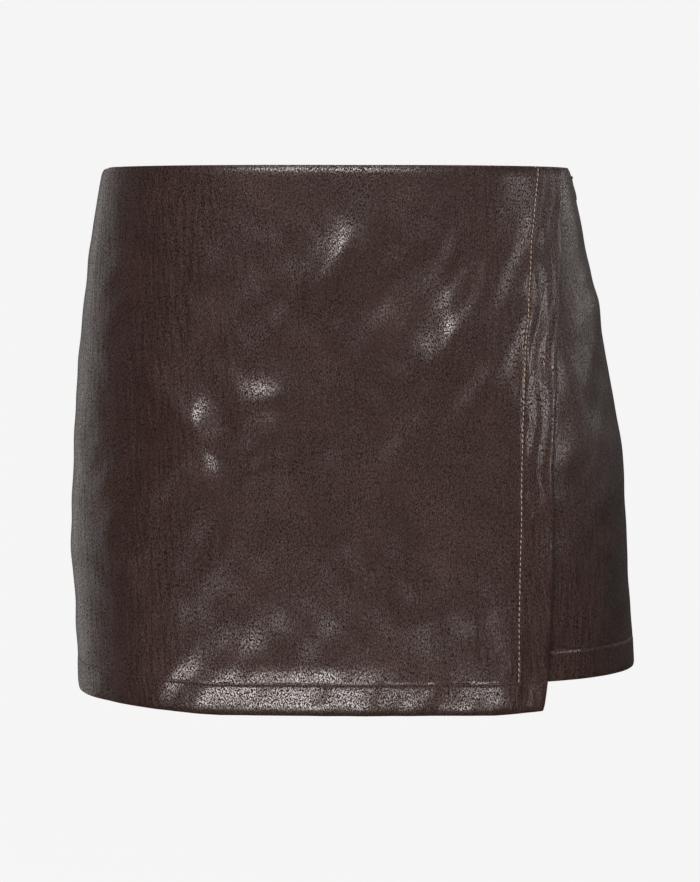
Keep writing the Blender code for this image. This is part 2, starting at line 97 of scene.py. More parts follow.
fineFolds = np.array([
    (-0.0300, -0.0480, 0.020, 0.008, -0.0006, -0.80),
    (0.0960, -0.0800, 0.030, 0.010, 0.0008, 0.72),
    (0.0200, -0.1100, 0.022, 0.008, 0.0006, 0.85),
    (0.0820, -0.1450, 0.034, 0.009, 0.0009, 0.58),
    (0.0100, -0.2270, 0.040, 0.010, 0.0007, 0.58),
    (-0.0660, -0.2360, 0.030, 0.010, 0.0006, 0.62),
    (0.0980, -0.1950, 0.035, 0.010, -0.0007, 0.60),
    (-0.1050, -0.0850, 0.045, 0.011, 0.0007, 0.92),
    (-0.1250, -0.1700, 0.050, 0.010, -0.0007, 0.96),
    (-0.0520, -0.2750, 0.030, 0.010, 0.0005, 0.55),
    (0.0950, -0.2750, 0.026, 0.009, 0.0009, 0.35),
    (0.0600, -0.2790, 0.018, 0.009, 0.0008, 0.15),
    (0.0350, -0.2480, 0.036, 0.010, -0.0007, 0.50),
    (-0.1180, -0.2650, 0.034, 0.011, -0.0006, 0.80),
])


def smooth(share):
    share = np.clip(share, 0.0, 1.0)
    return share * share * (3 - 2 * share)


def readShape(name, z):   # a column of the sections at these heights, on a smooth curve
    heights, values = sections[:, 0], sections[:, sectionNames.index(name)]
    ahead, behind = np.r_[heights[1:], heights[-1]], np.r_[heights[0], heights[:-1]]
    slopes = (np.r_[values[1:], values[-1]] - np.r_[values[0], values[:-1]]) / (ahead - behind)
    z = np.clip(z, heights[-1], heights[0])
    i = np.clip(np.searchsorted(-heights, -z, side="right") - 1, 0, len(heights) - 2)
    step = heights[i + 1] - heights[i]
    t = (z - heights[i]) / step
    start = (2 * t**3 - 3 * t**2 + 1) * values[i] + (t**3 - 2 * t**2 + t) * slopes[i] * step
    return start + (3 * t**2 - 2 * t**3) * values[i + 1] + (t**3 - t**2) * slopes[i + 1] * step


def legMiddle(z):
    down = smooth(z / shorts["legMiddleZ"])
    return shorts["waistFlat"] + (shorts["legMiddle"] - shorts["waistFlat"]) * down


def halfWidth(z, side):
    return readShape("halfWidth", z) - np.where(side < 0, shorts["rightInset"], 0)


def innerArc(s, z, face, depth):   # from a leg's middle to the centre seam or the inseam
    middle = legMiddle(z)
    reach = depth - face * shorts["crotchY"]
    drop = np.clip((shorts["forkZ"] - z) / (shorts["forkZ"] - shorts["crotchZ"]), 0, 1)
    left = 1 - drop ** shorts["forkPower"]
    above = np.sqrt(left + (1 - left) * np.sin((1 - s) * quarter) ** 2)
    down = np.clip((shorts["crotchZ"] - z) / (shorts["crotchZ"] - shorts["hemZ"]), 0, None)
    spread = shorts["inseamSpread"] * np.sqrt(1 - np.clip(1 - down, 0, None) ** 2)
    share = np.clip(np.cos(s * quarter), 0, 1)
    saddle = middle / quarter * np.arcsin(np.sqrt((share**2 + spread**2) / (1 + spread**2)))
    inseam = middle / quarter * np.arcsin(spread / np.sqrt(1 + spread**2))
    tube = middle - (middle - inseam) * np.sin(s * quarter)
    below = saddle + (tube - saddle) * smooth((shorts["crotchZ"] - z) / shorts["tubeDrop"])
    isAbove = z >= shorts["crotchZ"]
    x = np.where(isAbove, middle * (1 - s), below)
    return x, shorts["crotchY"] + face * reach * np.where(isAbove, above, share)


def bodyPoint(u, z, side, out=0.0):   # u: 0 at the side, 1 at a leg's middle, 2 at the centre
    face = np.where(u < 0, -1, 1)
    depth = np.where(u < 0, readShape("front", z), readShape("back", z)) + out
    turn = np.minimum(np.abs(u), 1) * quarter
    middle = legMiddle(z)
    power = 2 / shorts["roundness"]
    outerX = middle + (halfWidth(z, side) + out - middle) * np.clip(np.cos(turn), 0, 1) ** power
    outerY = face * depth * np.sin(turn) ** power
    innerX, innerY = innerArc(np.maximum(np.abs(u) - 1, 0), z, face, depth)
    isInner = np.abs(u) > 1
    x = side * np.where(isInner, innerX, outerX) + readShape("lean", z)
    return np.stack([x, np.where(isInner, innerY, outerY), z + 0 * x], -1)


def wrapPoint(u, z, side):   # over the shorts' front and across the gap between the legs
    down = smooth(z / wrap["hemZ"])
    standOff = wrap["standOff"] * down
    point = bodyPoint(u, z, side, cloth["layer"])
    s = np.clip(np.abs(u) - 1, 0, None)
    outerY = point[..., 1] - np.where(u < 0, standOff * np.sin(np.clip(-u, 0, 1) * quarter), 0)
    innerY = -readShape("front", z) - cloth["layer"] - standOff
    innerY = innerY - wrap["crown"] * down * np.sin(s * quarter) ** 2
    innerX = side * legMiddle(z) * (1 - s) + readShape("lean", z)
    isInner = np.abs(u) > 1
    point[..., 0] = np.where(isInner, innerX, point[..., 0])
    point[..., 1] = np.where(isInner, innerY, outerY)
    return point


def turnAt(x, z):   # the u where the wrap's left half has this x
    middle = legMiddle(z)
    share = (x - readShape("lean", z) - middle) / (halfWidth(z, 1) + cloth["layer"] - middle)
    return -np.arccos(np.clip(share, 0, 1) ** (shorts["roundness"] / 2)) / quarter


def foldHeight(folds, x, z):
    height = 0 * x
    for foldX, foldZ, halfLength, halfWide, high, slope in folds:
        turn = slope * quarter
        along = ((x - foldX) * cos(turn) + (z - foldZ) * sin(turn)) / halfLength
        across = ((z - foldZ) * cos(turn) - (x - foldX) * sin(turn)) / halfWide
        height = height + high / (1 + along**4) / (1 + across**2) ** 2
    return height


waves = [   # length, angle of the crests and start
    (0.031, 62, 0.4), (0.022, 48, 2.1), (0.041, 75, 4.0),
    (0.017, 66, 1.2), (0.026, 92, 5.1), (0.021, 104, 3.3),
    (0.036, 20, 0.9), (0.024, -38, 2.7), (0.013, 84, 4.6),
]
waveLook = {
    "share": 0.0052,                        # a wave's height for its length
    "swayX": (0.006, 0.019, 1.0),           # how far the crests wander, over how long, from where
    "swayZ": (0.007, 0.023, 0.5),
}


def waveHeight(x, z):   # the slight unevenness of soft cloth all over
    height = 0 * x
    sway, over, begin = waveLook["swayX"]
    bendX = x + sway * np.sin(z / over + begin)
    sway, over, begin = waveLook["swayZ"]
    bendZ = z + sway * np.sin(x / over + begin)
    for length, angle, start in waves:
        turn = radians(angle)
        across = bendZ * cos(turn) - bendX * sin(turn)
        height = height + length * np.sin(across * 2 * pi / length + start)
    return height * waveLook["share"]


def gridNormals(grid, side):
    down = np.gradient(grid, axis=0)
    across = np.gradient(grid, axis=1)
    normals = np.cross(down, across) * side
    return normals / np.linalg.norm(normals, axis=-1, keepdims=True)


def arcLength(grid, axis):   # how far each point lies along its row or column
    steps = np.linalg.norm(np.diff(grid, axis=axis), axis=-1)
    pad = [(0, 0), (0, 0)]
    pad[axis] = (1, 0)
    return np.cumsum(np.pad(steps, pad), axis=axis)


def spaced(start, end, step, startRows=(), endRows=()):   # from start to end, closer at the ends
    way = 1 if end > start else -1
    first, last = start, end
    if len(startRows):
        first = start + way * startRows[-1]
    if len(endRows):
        last = end - way * endRows[-1]
    count = max(int(round(abs(last - first) / step)), 1)
    middle = [first + (last - first) * k / count for k in range(count + 1)]
    head = [start + way * d for d in startRows[:-1]] if len(startRows) else []
    tail = [end - way * d for d in endRows[-2::-1]] if len(endRows) else []
    return head + middle + tail


# panels: a grid laid on a panel's points, then thickness and a rounded rim
panelLook = {
    "step": 2.6 * mm,              # between rows and columns
    "edgeRows": [d * mm for d in (0, 0.4, 0.9, 1.6, 2.6, 4.2)],
    "stitchRows": [d * mm for d in (-3.0, -1.8, -1.0, -0.5, 0, 0.5, 1.0, 1.8, 3.0)],
    "rimRound": 0.45 * mm, "rimSteps": 3, "rimAngle": 60,
    "inside": 1.5 * mm,                               # the turned cloth's reach past its stitches
    "groove": 0.40 * mm, "grooveHalf": 0.8 * mm,      # where a row of stitches pulls the cloth in
    "seamRoll": 0.9 * mm, "seamRollHalf": 2.4 * mm,   # how the cloth turns into a seam
    "topRoll": 1.0 * mm, "topRollHalf": 5.0 * mm,
}


def deselectAll():
    if bpy.context.object and bpy.context.object.mode != "OBJECT":
        bpy.ops.object.mode_set(mode="OBJECT")
    bpy.ops.object.select_all(action="DESELECT")


def applyModifier(piece, kind, **settings):
    modifier = piece.modifiers.new(kind, kind)
    for key, value in settings.items():
        setattr(modifier, key, value)
    deselectAll()
    piece.select_set(True)
    bpy.context.view_layer.objects.active = piece
    bpy.ops.object.modifier_apply(modifier=modifier.name)


def layPanel(name, points, places, thick, flip, finishes):
    rows, columns = points.shape[:2]
    deselectAll()
    bpy.ops.mesh.primitive_grid_add(x_subdivisions=columns - 1, y_subdivisions=rows - 1, size=2)
    piece = bpy.context.object
    piece.name = piece.data.name = name
    mesh = piece.data
    flat = np.empty(len(mesh.vertices) * 3)
    mesh.vertices.foreach_get("co", flat)
    flat = flat.reshape(-1, 3)
    column = np.rint((flat[:, 0] + 1) / 2 * (columns - 1)).astype(int)
    row = np.rint((1 - flat[:, 1]) / 2 * (rows - 1)).astype(int)
    mesh.vertices.foreach_set("co", points[row, column].ravel())
    corner = np.empty(len(mesh.loops), int)
    mesh.loops.foreach_get("vertex_index", corner)
    uvLayer = mesh.uv_layers.active
    uvLayer.name = "cloth"
    uvLayer.data.foreach_set("uv", places[row[corner], column[corner]].ravel())
    turned = piece.vertex_groups.new(name="turned")
    weights = thick[row, column] / cloth["turned"]
    for value in np.unique(weights.round(3)):
        turned.add([int(k) for k in np.flatnonzero(weights.round(3) == value)], float(value), "REPLACE")
    for finish in finishes:
        mesh.materials.append(finish)
    if flip:
        bpy.ops.object.mode_set(mode="EDIT")
        bpy.ops.mesh.select_all(action="SELECT")
        bpy.ops.mesh.flip_normals()
        bpy.ops.object.mode_set(mode="OBJECT")
    applyModifier(piece, "SOLIDIFY", thickness=cloth["turned"], offset=-1, vertex_group="turned",
                  material_offset=1, material_offset_rim=0)
    applyModifier(piece, "BEVEL", width=panelLook["rimRound"], segments=panelLook["rimSteps"],
                  limit_method="ANGLE", angle_limit=radians(panelLook["rimAngle"]), harden_normals=False)
    deselectAll()
    piece.select_set(True)
    bpy.ops.object.shade_smooth()
    piece.vertex_groups.clear()
    return piece


def hemRows(top, stitch, hem):   # rows from the top edge over the hem's stitches to the hem
    step = panelLook["step"]
    around = panelLook["stitchRows"]
    upper = spaced(top, stitch - around[0], step, panelLook["edgeRows"])
    lower = spaced(stitch - around[-1], hem, step, (), panelLook["edgeRows"])
    return np.array(upper[:-1] + [stitch - d for d in around] + lower[1:])


def groove(distance):
    return -panelLook["groove"] * np.exp(-((distance / panelLook["grooveHalf"]) ** 2))


def edgeRoll(distance, deep, reach):   # the cloth rounds inwards near an edge
    return -deep * np.clip(1 - distance / reach, 0, 1) ** 2


wrapLook = {
    "waistFlat": 0.06, "fineFlat": 0.03,                # folds fade out from here up to the waist
    "gapColumns": 33, "legColumns": 36, "facing": 0.0255, "pastSeam": 0.02,
    "evenX": (-0.125, 0.105), "evenOver": 0.02, "evenTimes": 90,
    "frontX": -0.160, "frontOver": 0.045,               # where the hem begins to curl, beside the side seam
    "sideEase": 1.3 * mm, "easeX": 0.135, "easeXOver": 0.03, "easeZ": 0.20, "easeZOver": 0.05,
    "edgeRoll": 1.5 * mm, "edgeRollHalf": 3.4 * mm,
    "hemFlare": 0.6 * mm, "flareX": -0.030, "flareHalf": 0.062, "flareZ": -0.298, "flareOver": 0.034,
    "hemCurl": 2.9 * mm, "curlPower": 1.15, "glowDip": 1.0 * mm, "glowHigh": 11 * mm,
    "hemRoll": 1.5 * mm, "hemRollHigh": 5.0 * mm, "sideRoll": 0.4,
    "facingDish": 0.9 * mm,
}
puckers = {                                             # beside the facing's stitches
    "high": 0.12 * mm, "at": 5 * mm, "half": 7 * mm,
    "waves": ((3.1 * mm, 4 * mm), (4.7 * mm, -3 * mm)),     # lengths down and across
}
ripples = {                                             # along the facing
    "high": 0.46 * mm, "wide": 1.55 * mm, "sway": 2.2 * mm, "swayHigh": 11 * mm,
    "upper": 0.35, "lower": 0.65, "z": -0.26, "over": 0.08, "waistFlat": 0.03,
}


def wrapDetail(x, z):   # folds that both the wrap and the cloth under it follow
    fromWaist = smooth(-z / wrapLook["waistFlat"])
    large = foldHeight(largeFolds, x, z) * fromWaist
    fine = foldHeight(fineFolds, x, z) * smooth(-z / wrapLook["fineFlat"])
    return large + fine + waveHeight(x, z) * fromWaist


def wrapGrid():   # the rows' heights and each column's u, from the side seam to the free edge
    stitchZ = wrap["hemZ"] + wrap["turnUp"]
    heights = hemRows(wrap["topZ"], stitchZ, wrap["hemZ"])[:, None]
    edge = turnAt(readShape("edgeX", heights), heights)
    stitch = turnAt(readShape("stitchX", heights), heights)
    seam = shorts["seamTurn"][-1]
    perMetre = 1 / unitWide["outer"]
    step = panelLook["step"]
    right = spaced(seam, -1, step * perMetre, [d * perMetre for d in panelLook["edgeRows"]])
    right = [seam + wrapLook["pastSeam"]] + right          # one column past the seam, for its normals
    count = wrapLook["gapColumns"]
    inner = [k / count for k in range(count)]
    fixed = np.array(right[:-1] + [-1 - k for k in inner] + [-2 + k for k in inner])
    sides = np.array([-1] * (len(right) - 1 + count) + [1] * count)
    around = np.array(panelLook["stitchRows"]) * perMetre
    toStitch = -1 + (stitch + around[0] + 1) * (np.arange(wrapLook["legColumns"]) / wrapLook["legColumns"])
    atStitch = stitch + around
    facing = spaced(panelLook["stitchRows"][-1], wrapLook["facing"], step, (), panelLook["edgeRows"])
    facing = np.array(facing[1:]) * perMetre
    reach = facing - facing[0] + step * perMetre
    facing = (stitch + around[-1]) + (edge - stitch - around[-1]) * reach / reach[-1]
    u = np.concatenate([np.repeat(fixed[None], len(heights), 0), toStitch, atStitch, facing], 1)
    sides = np.r_[sides, np.ones(u.shape[1] - len(sides), int)]
    z = heights + 0 * u
    rise = np.where(sides < 0, wrap["sideRise"], wrap["cornerRise"]) * np.clip(1 - np.abs(u), 0, None)
    z = z + rise * (heights - wrap["topZ"]) / (wrap["hemZ"] - wrap["topZ"])
    return heights, u, sides[None] + 0 * u, z, stitch, edge, stitchZ


def relax(points, times, weight):   # evens out how a surface bends from side to side
    for _ in range(times):
        x, y = points[:, :, 0], points[:, :, 1]
        share = (x[:, 1:-1] - x[:, :-2]) / (x[:, 2:] - x[:, :-2])
        even = y[:, :-2] + (y[:, 2:] - y[:, :-2]) * share
        points[:, 1:-1, 1] = y[:, 1:-1] + 0.5 * weight[:, 1:-1] * (even - y[:, 1:-1])


def wrapSurface():   # the wrap's outer points, its place map and its thickness
    look = wrapLook
    heights, u, sides, z, stitch, edge, stitchZ = wrapGrid()
    base = wrapPoint(u, z, sides)
    left, right = look["evenX"]
    evenly = smooth((base[..., 0] - left) / look["evenOver"])
    evenly = evenly * smooth((right - base[..., 0]) / look["evenOver"])
    relax(base, look["evenTimes"], evenly)
    normals = gridNormals(base, 1)
    x, height = base[..., 0], base[..., 2]
    isLeft = sides > 0
    lift = wrap["facingLift"] * smooth((x - wrap["liftFrom"]) / wrap["liftOver"]) + wrapDetail(x, height)
    near = 1 - smooth((shorts["seamTurn"][-1] - u) / wrap["seamReach"])
    lift = lift - np.where(sides < 0, (cloth["layer"] - wrap["seamDip"]) * near, 0)
    around = arcLength(base, 1)
    centre = int(np.argmin(np.abs(u[0] + 2)))
    places = np.stack([around - around[:, centre:centre + 1], -arcLength(base, 0)], -1)
    fromEdge = arcLength(base[:, ::-1], 1)[:, ::-1]
    fromSeam = around - around[:, 1:2]
    fromStitch = (u - stitch) * unitWide["outer"]
    below = heights - stitchZ                              # negative below the hem's stitches
    lift = lift + groove(fromStitch) * (below > -1 * mm) * isLeft + groove(below)
    across = np.clip(fromStitch / ((edge - stitch) * unitWide["outer"]), 0, 1) * isLeft
    lift = lift + look["facingDish"] * ((2 * across - 1) ** 2 - 1) * (across > 0)
    pucker = sum(np.sin(height / down + fromStitch / over) for down, over in puckers["waves"])
    pucker = puckers["high"] * pucker * np.exp(-((fromStitch - puckers["at"]) / puckers["half"]) ** 2)
    lift = lift + pucker * isLeft
    bend = (fromStitch + ripples["sway"] * np.sin(height / ripples["swayHigh"])) / ripples["wide"]
    strength = ripples["upper"] + ripples["lower"] * smooth((height - ripples["z"]) / ripples["over"])
    strength = smooth(-height / ripples["waistFlat"]) * strength
    lift = lift + ripples["high"] * np.sin(bend) * np.sin(across * pi) * strength
    inFront = smooth((x - look["frontX"]) / look["frontOver"])
    lift = lift - look["hemCurl"] * inFront * np.clip(-below / wrap["turnUp"], 0, 1) ** look["curlPower"]
    ease = look["sideEase"] * smooth((-x - look["easeX"]) / look["easeXOver"])
    lift = lift + ease * smooth((-height - look["easeZ"]) / look["easeZOver"])
    lift = lift + edgeRoll(fromEdge, look["edgeRoll"], look["edgeRollHalf"])
    lift = lift + edgeRoll(np.abs(fromSeam), panelLook["seamRoll"], panelLook["seamRollHalf"])
    lift = lift + edgeRoll(wrap["topZ"] - heights, panelLook["topRoll"], panelLook["topRollHalf"])
    rolled = look["sideRoll"] + (1 - look["sideRoll"]) * inFront
    lift = lift + rolled * edgeRoll(heights - wrap["hemZ"], look["hemRoll"], look["hemRollHigh"])
    flare = 1 / (1 + ((x - look["flareX"]) / look["flareHalf"]) ** 4)
    lift = lift - look["glowDip"] * flare * smooth(1 - below / look["glowHigh"])
    lift = lift + look["hemFlare"] * flare * smooth((look["flareZ"] - height) / look["flareOver"])
    points = base + normals * lift[..., None]
    points[:, 1, 1] -= cloth["seamGap"] / 2
    inside = (below < panelLook["inside"]) | (fromStitch > -panelLook["inside"]) & isLeft
    thick = np.where(inside, cloth["turned"], cloth["thick"])
    hemRow = int(np.argmin(np.abs(heights[:, 0] - stitchZ)))
    facingColumn = int(np.argmin(np.abs((u - stitch)[0] + 9 * (sides[0] < 0)))) - 1
    return points[:, 1:], places[:, 1:], thick[:, 1:], hemRow, facingColumn


# soft folds on the hidden back
backFolds = np.array([
    (-0.070, -0.100, 0.050, 0.014, 0.0012, 0.35),
    (-0.020, -0.140, 0.045, 0.012, -0.0010, 0.20),
    (0.062, -0.118, 0.055, 0.014, 0.0013, -0.38),
    (0.030, -0.165, 0.040, 0.011, 0.0009, -0.22),
    (-0.095, -0.195, 0.050, 0.013, -0.0012, 0.52),
    (0.105, -0.215, 0.050, 0.013, -0.0012, -0.50),
    (-0.060, -0.262, 0.040, 0.011, 0.0012, 0.18),
    (0.085, -0.268, 0.045, 0.011, 0.0012, -0.22),
    (-0.115, -0.285, 0.030, 0.010, 0.0009, 0.62),
    (0.130, -0.150, 0.045, 0.012, 0.0010, -0.80),
    (-0.120, -0.120, 0.045, 0.012, 0.0009, 0.85),
    (0.020, -0.060, 0.050, 0.010, -0.0007, 0.05),
])

# folds on the left leg beside the wrap
legFolds = np.array([
    (0.172, -0.080, 0.050, 0.008, 0.0010, 0.82),
    (0.168, -0.130, 0.055, 0.009, -0.0010, 0.88),
    (0.182, -0.180, 0.060, 0.008, 0.0009, 0.95),
    (0.165, -0.245, 0.050, 0.009, 0.0008, 1.04),
    (0.180, -0.285, 0.030, 0.008, -0.0007, 0.90),
])


shortsLook = {
    "step": panelLook["step"] * 1.15,
    "upperRows": [d * mm for d in (0, 0.5, 1.2, 2.4)],     # closer rows over and under the crotch
    "lowerRows": [d * mm for d in (0, 0.3, 1, 2.2)],
    "hiddenX": 0.150, "hiddenOver": 0.012,                 # where the wrap lies over the front
    "outerTurn": 1.5, "outerOver": 0.4, "outerZ": -0.2,    # the folds stay off the inner legs
    "hiddenZ": -0.30, "waistFlat": 0.04, "frontWaves": 0.7,
    "hemGroove": 0.6, "turnUpLift": 0.2 * mm, "turnUpOver": 2 * mm,
    "hemRoll": 0.5 * mm, "hemRollHigh": 3 * mm,
}


def outerColumns(side, towards):
    perMetre = 1 / unitWide["outer"]
    near = [d * perMetre for d in panelLook["edgeRows"]]
    return spaced(shorts["seamTurn"][side], towards, shortsLook["step"] * perMetre, near)


def innerColumns(towards):
    rows = [d / unitWide["inner"] for d in panelLook["edgeRows"]]
    return spaced(towards, 2 * towards, shortsLook["step"] / unitWide["inner"], (), rows)


def legRise(u, z):
    down = smooth((shorts["crotchZ"] - z) / (shorts["crotchZ"] - shorts["hemZ"]))
    return shorts["sideRise"] * np.clip(1 - np.abs(u), 0, None) ** 0.8 * down


def shortsHalf(side):   # one side's points from the centre front round to the centre back
    stitchZ = shorts["hemZ"] + shorts["turnUp"]
    step = shortsLook["step"]
    around = panelLook["stitchRows"]
    crotch = shorts["crotchZ"]
    upper = spaced(0, crotch, step, panelLook["edgeRows"], shortsLook["upperRows"])
    middle = spaced(crotch, stitchZ - around[0], step, shortsLook["lowerRows"])
    lower = spaced(stitchZ - around[-1], shorts["hemZ"], step, (), panelLook["edgeRows"])
    heights = np.array(upper[:-1] + middle[:-1] + [stitchZ - d for d in around] + lower[1:])[:, None]
    front = innerColumns(-1)[::-1][:-1] + outerColumns(side, -1)[::-1][:-1]
    u = np.array(front + outerColumns(side, 1) + innerColumns(1)[1:])[None]
    seam = len(front)
    base = bodyPoint(u + 0 * heights, heights + 0 * u, side)
    base[..., 2] += legRise(u, heights)
    normals = gridNormals(base, side)
    down = np.gradient(base, axis=0)
    for column, way in ((0, 1), (-1, -1)):
        above = np.cross(down[:, column], (way, 0, 0))
        below = np.cross(down[:, column], (0, -side, 0))
        line = np.where(heights > crotch, above, below)
        line[np.abs(heights[:, 0] - crotch) < 0.1 * mm] = (0, 0, -1)
        normals[:, column] = line / np.linalg.norm(line, axis=-1, keepdims=True)
    return heights, u, seam, base, normals, stitchZ


def tuck(u, z):   # how far the right front is held in under the wrap
    start, end = shorts["tuckTurn"]
    nearSeam = 1 - smooth((shorts["seamTurn"][-1] - u) / wrap["seamReach"])
    nearHem = smooth((shorts["tuckZ"] - z) / shorts["tuckDrop"]) * smooth((end + u) / (end - start))
    return shorts["tuck"] * np.maximum(nearSeam, nearHem)


def shortsPanels(side):   # name, node, points, place map and thickness of the front and back panel
    look = shortsLook
    heights, u, seam, base, normals, stitchZ = shortsHalf(side)
    x, z = base[..., 0], base[..., 2]
    isFront = u < 0
    along = arcLength(base, 1)
    fromCentre = np.minimum(along, along[:, -1:] - along)
    fromSeam = np.abs(along - along[:, seam:seam + 1])
    below = heights - stitchZ
    hidden = smooth((look["hiddenX"] - x) / look["hiddenOver"])
    outer = smooth((look["outerTurn"] - np.abs(u)) / look["outerOver"]) + (z > look["outerZ"])
    outer = np.clip(outer, 0, 1)
    front = wrapDetail(x, z) * hidden * (z > look["hiddenZ"])
    front = front + foldHeight(legFolds, x, z) * (side > 0) * (1 - hidden)
    lift = np.where(isFront, front, foldHeight(backFolds, x, z)) * outer
    lift = lift + waveHeight(x, z) * np.where(isFront, look["frontWaves"] * (1 - hidden), 1) * outer
    lift = lift * smooth(-z / look["waistFlat"])
    lift = lift + look["hemGroove"] * groove(below)
    lift = lift + look["turnUpLift"] * smooth(-below / look["turnUpOver"])
    lift = lift + edgeRoll(fromSeam, panelLook["seamRoll"], panelLook["seamRollHalf"])
    lift = lift + edgeRoll(fromCentre, panelLook["seamRoll"], panelLook["seamRollHalf"])
    lift = lift + edgeRoll(-heights, panelLook["topRoll"], panelLook["topRollHalf"])
    lift = lift + edgeRoll(heights - shorts["hemZ"], look["hemRoll"], look["hemRollHigh"])
    if side < 0:
        lift = lift - np.where(isFront, tuck(u, heights), 0)
    points = base + normals * lift[..., None]
    top, bottom = shorts["notchZ"]
    ease = shorts["notchEase"]
    atSlider = smooth((top + ease - heights) / ease) * smooth((heights - bottom + ease) / ease)
    atSlider = atSlider * shorts["notch"] * np.clip(1 - fromSeam / shorts["notchHalf"], 0, 1) * (side > 0)
    places = np.stack([along - along[:, seam:seam + 1], -arcLength(base, 0)], -1)
    thick = np.where(below < panelLook["inside"], cloth["turned"], cloth["thick"]) + 0 * u
    crotch = shorts["crotchZ"]
    made = []
    for panel, towards, span in (("front", -1, slice(0, seam + 1)), ("back", 1, slice(seam, None))):
        part = points[:, span].copy()
        part[..., 1] += towards * atSlider[:, span]
        edge, centre = (-1, 0) if towards < 0 else (0, -1)
        part[:, edge, 1] += towards * cloth["seamGap"] / 2
        atTop = heights[:, 0] > crotch - 0.1 * mm
        part[atTop, centre, 0] += side * cloth["seamGap"] / 2
        part[heights[:, 0] < crotch + 0.1 * mm, centre, 1] += towards * cloth["seamGap"] / 2
        name = f"shorts{panel.title()}{'Left' if side > 0 else 'Right'}"
        node = f"shorts_{panel}_{'left' if side > 0 else 'right'}"
        made.append((name, node, part, places[:, span], thick[:, span]))
    hemRow = int(np.argmin(np.abs(heights[:, 0] - stitchZ)))
    return made, hemRow


class Wire:   # one socket of a material's nodes; sums and products on it add Math nodes
    def __init__(self, tree, socket=None):
        self.tree, self.socket = tree, socket

    def node(self, kind, settings=None, inputs=None, out=0):
        made = self.tree.nodes.new(kind)
        for key, value in (settings or {}).items():
            if key == "stops":
                while len(made.color_ramp.elements) < len(value):
                    made.color_ramp.elements.new(1.0)
                for element, (place, colour) in zip(made.color_ramp.elements, value):
                    element.position, element.color = place, colour
            else:
                setattr(made, key, value)
        for key, value in (inputs or {}).items():
            if isinstance(value, Wire):
                self.tree.links.new(value.socket, made.inputs[key])
            else:
                made.inputs[key].default_value = value
        return Wire(self.tree, made.outputs[out])

    def maths(self, operation, *values):
        return self.node("ShaderNodeMath", {"operation": operation}, dict(enumerate(values)))

    def __add__(self, other):
        return self.maths("ADD", self, other)

    def __radd__(self, other):
        return self.maths("ADD", other, self)

    def __rsub__(self, other):
        return self.maths("SUBTRACT", other, self)

    def __mul__(self, other):
        return self.maths("MULTIPLY", self, other)

    def __rmul__(self, other):
        return self.maths("MULTIPLY", other, self)

    def ramp(self, low, high):   # 0 at low, 1 at high, smooth between
        inputs = {"Value": self, "From Min": low, "From Max": high}
        return self.node("ShaderNodeMapRange", {"interpolation_type": "SMOOTHSTEP"}, inputs)

    def mix(self, first, second):   # two colours by this value
        inputs = {"Factor": self, 6: first, 7: second}
        return self.node("ShaderNodeMix", {"data_type": "RGBA"}, inputs, 2)


def newMaterial(name):
    material = bpy.data.materials.new(name)
    material.use_nodes = True
    tree = material.node_tree
    return material, tree.nodes["Principled BSDF"], Wire(tree)


def colour(*tones):   # from red, green and blue between 0 and 255
    linear = [((c / 255 + 0.055) / 1.055) ** 2.4 if c > 10 else c / 255 / 12.92 for c in tones]
    return (*linear, 1.0)


leatherLook = {
    # valleyShade: darker between the pebbles, painted shade in the grain's hollows
    "valleyShade": colour(25, 15, 12), "base": colour(47, 31, 27), "worn": colour(60, 42, 36),
    "pebbles": 1080.0, "streaks": 700.0,                  # grain cells and streaks a metre
    "grain": ((5, (1.38, 0.66, 1.0)), (-36, (1.3, 0.72, 1.0))),     # turn and stretch, in two kinds of patch
    "creases": 290.0, "creaseTurns": (3, -36), "creaseStretch": (1.0, 0.17, 1.0),
    "patches": 13.0, "tones": 27.0, "wear": 0.45,
    "warps": 260.0, "warp": 2.0 * mm,                     # how the grain wanders
    "grainDeep": 0.14 * mm, "creaseDeep": 1.8 * mm,
    "rough": (0.40, 0.50), "gloss": 0.30, "specular": 0.12,
    "polish": (0.0, 1.0),                                 # coat between the pebbles and on their tops
}


